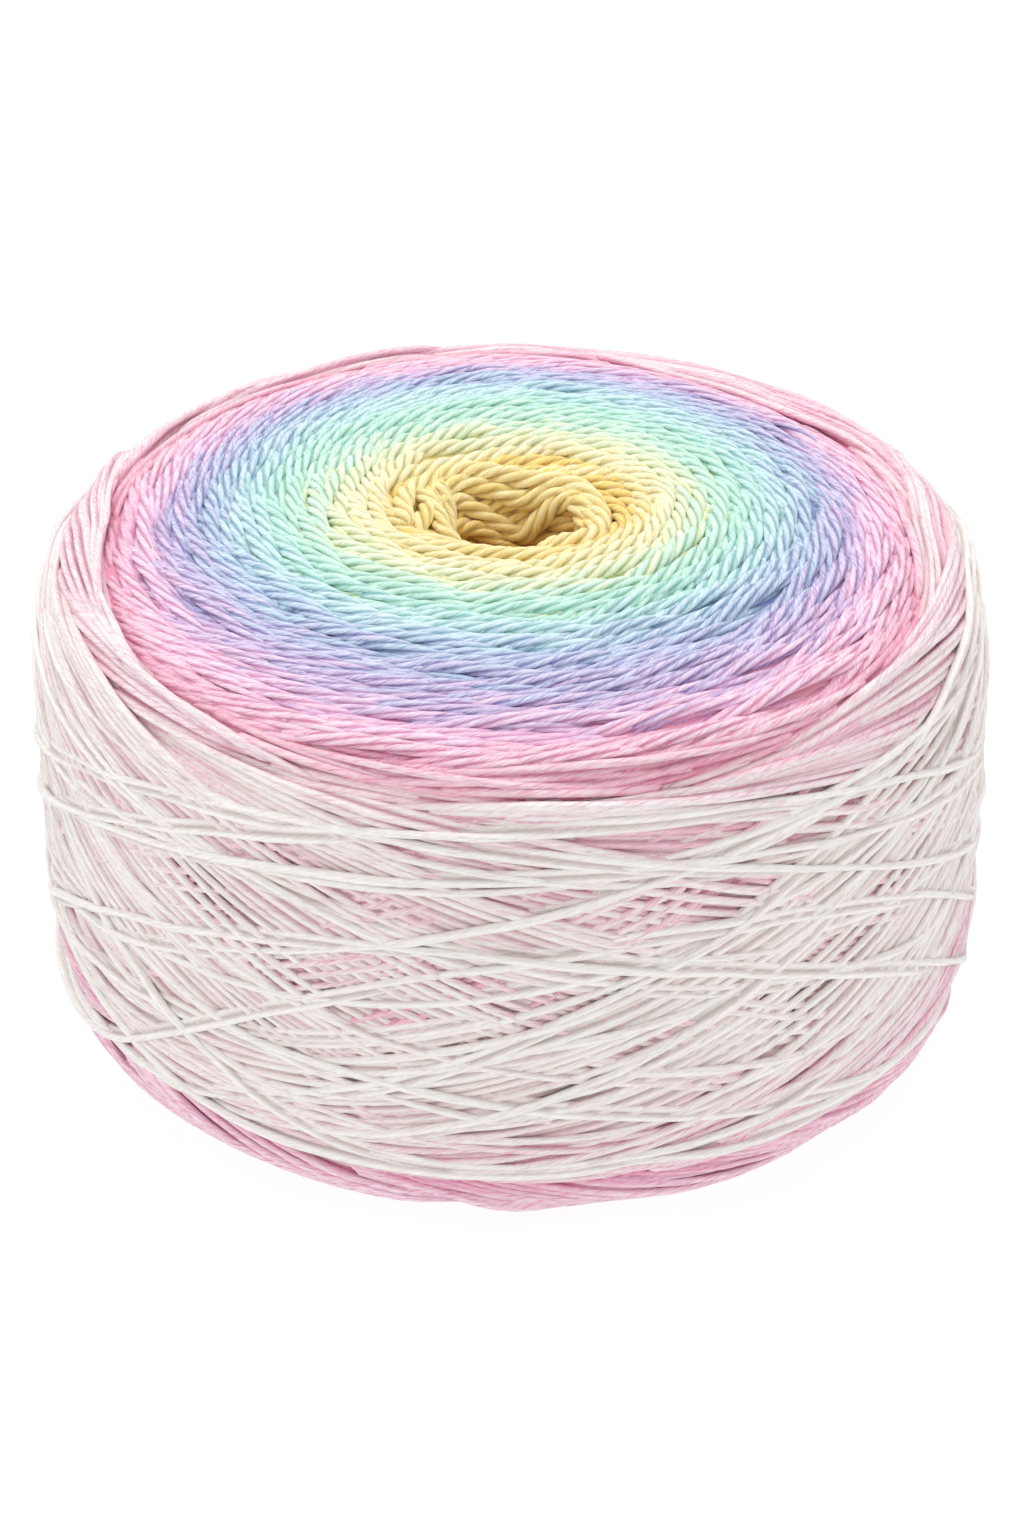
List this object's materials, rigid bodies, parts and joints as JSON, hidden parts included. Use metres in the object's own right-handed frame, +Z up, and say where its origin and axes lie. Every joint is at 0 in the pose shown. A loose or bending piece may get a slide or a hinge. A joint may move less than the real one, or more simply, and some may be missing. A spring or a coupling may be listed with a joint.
{
  "type": "yarn cake",
  "caption": "Squat wound cake of gradient yarn with rounded shoulders, a flat foot and a pull-out well in its top.",
  "frame": {"origin": "centre of the footprint, on the plane of the flat foot", "axes": "+Z up along the winding axis, +X to the right and +Y away from the viewer of the picture"},
  "size_m": [0.15, 0.15, 0.087],
  "materials": {
    "yarn": "soft matte loosely plied cotton-blend yarn"
  },
  "bodies": {
    "root": {"yarn_cake": "yarn"}
  },
  "joints": []
}
